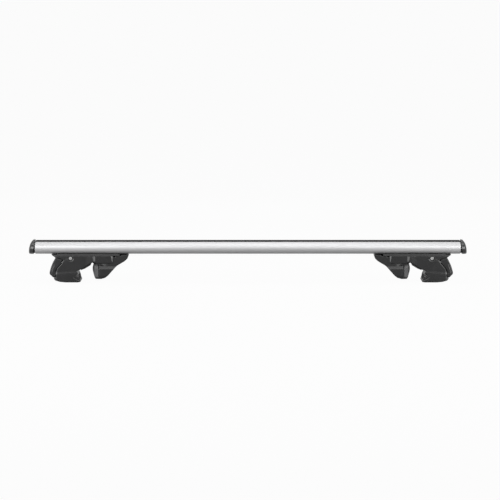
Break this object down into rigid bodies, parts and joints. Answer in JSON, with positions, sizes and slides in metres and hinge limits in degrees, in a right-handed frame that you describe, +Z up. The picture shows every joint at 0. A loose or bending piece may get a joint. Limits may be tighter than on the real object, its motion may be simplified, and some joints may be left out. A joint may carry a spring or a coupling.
{
  "type": "roof rack crossbar",
  "caption": "Oval aluminium roof crossbar with a rubber top strip, end caps and lockable clamp feet that grip raised roof rails.",
  "frame": {"origin": "centre of the crossbar on the plane that both feet stand on", "axes": "+X along the bar, +Z up from the feet to the bar, +Y across the bar"},
  "size_m": [1.1996, 0.0652, 0.1145],
  "materials": {
    "anodised_bar": "satin clear anodised extrusion, fine lines along its length",
    "rubber": "matt black rubber",
    "cap_plastic": "fine-textured black moulded plastic",
    "moulded_body": "satin dark grey glass-filled plastic with a fine moulded grain",
    "zinc_steel": "bright zinc-plated steel",
    "lock_metal": "nickel-plated lock face"
  },
  "bodies": {
    "bar": {"bar_extrusion": "anodised_bar", "rubber_strip": "rubber", "left_end_cap": "cap_plastic", "right_end_cap": "cap_plastic"},
    "left_foot": {"left_housing": "moulded_body", "left_saddle": "moulded_body", "left_saddle_pad": "rubber", "left_channel_plate": "zinc_steel", "left_saddle_screws": "zinc_steel", "left_rail_pad": "rubber", "left_claw_pad": "rubber", "left_hinge_pin": "zinc_steel", "left_clamp_washer": "zinc_steel", "left_lock_sleeve": "moulded_body"},
    "left_jaw": {"left_jaw": "moulded_body", "left_jaw_pad": "rubber", "left_clamp_nut": "zinc_steel"},
    "left_screw": {"left_clamp_screw": "zinc_steel", "left_retaining_clip": "zinc_steel"},
    "left_cover": {"left_end_cover": "moulded_body"},
    "left_lock": {"left_lock_barrel": "lock_metal", "left_lock_cam": "zinc_steel", "left_cam_screw": "zinc_steel"},
    "right_foot": {"right_housing": "moulded_body", "right_saddle": "moulded_body", "right_saddle_pad": "rubber", "right_channel_plate": "zinc_steel", "right_saddle_screws": "zinc_steel", "right_rail_pad": "rubber", "right_claw_pad": "rubber", "right_hinge_pin": "zinc_steel", "right_clamp_washer": "zinc_steel", "right_lock_sleeve": "moulded_body"},
    "right_jaw": {"right_jaw": "moulded_body", "right_jaw_pad": "rubber", "right_clamp_nut": "zinc_steel"},
    "right_screw": {"right_clamp_screw": "zinc_steel", "right_retaining_clip": "zinc_steel"},
    "right_cover": {"right_end_cover": "moulded_body"},
    "right_lock": {"right_lock_barrel": "lock_metal", "right_lock_cam": "zinc_steel", "right_cam_screw": "zinc_steel"}
  },
  "joints": [
    {"name": "left_foot_slide", "type": "slide", "parent": "bar", "child": "left_foot", "axis": [1, 0, 0], "range_m": [-0.035, 0.15]},
    {"name": "left_jaw_slide", "type": "slide", "parent": "left_foot", "child": "left_jaw", "axis": [1, 0, 0], "range_m": [-0.004, 0.02]},
    {"name": "left_screw_turn", "type": "hinge", "parent": "left_foot", "child": "left_screw", "pos_m": [-0.4915, 0, 0.062], "axis": [1, 0, 0], "range_deg": [-5800, 1200]},
    {"name": "left_cover_hinge", "type": "hinge", "parent": "left_foot", "child": "left_cover", "pos_m": [-0.53, 0, 0.018], "axis": [0, -1, 0], "range_deg": [0, 60]},
    {"name": "left_lock_turn", "type": "hinge", "parent": "left_foot", "child": "left_lock", "pos_m": [-0.4842, 0, 0.0664], "axis": [0, -1, 0], "range_deg": [0, 75]},
    {"name": "right_foot_slide", "type": "slide", "parent": "bar", "child": "right_foot", "axis": [-1, 0, 0], "range_m": [-0.016, 0.169]},
    {"name": "right_jaw_slide", "type": "slide", "parent": "right_foot", "child": "right_jaw", "axis": [-1, 0, 0], "range_m": [-0.004, 0.02]},
    {"name": "right_screw_turn", "type": "hinge", "parent": "right_foot", "child": "right_screw", "pos_m": [0.5105, 0, 0.062], "axis": [-1, 0, 0], "range_deg": [-5800, 1200]},
    {"name": "right_cover_hinge", "type": "hinge", "parent": "right_foot", "child": "right_cover", "pos_m": [0.549, 0, 0.018], "axis": [0, 1, 0], "range_deg": [0, 60]},
    {"name": "right_lock_turn", "type": "hinge", "parent": "right_foot", "child": "right_lock", "pos_m": [0.5032, 0, 0.0664], "axis": [0, 1, 0], "range_deg": [0, 75]}
  ],
  "couplings": [
    {"joint": "left_screw_turn", "follows": "left_jaw_slide", "rad_per_m": -5026.5},
    {"joint": "right_screw_turn", "follows": "right_jaw_slide", "rad_per_m": -5026.5}
  ]
}
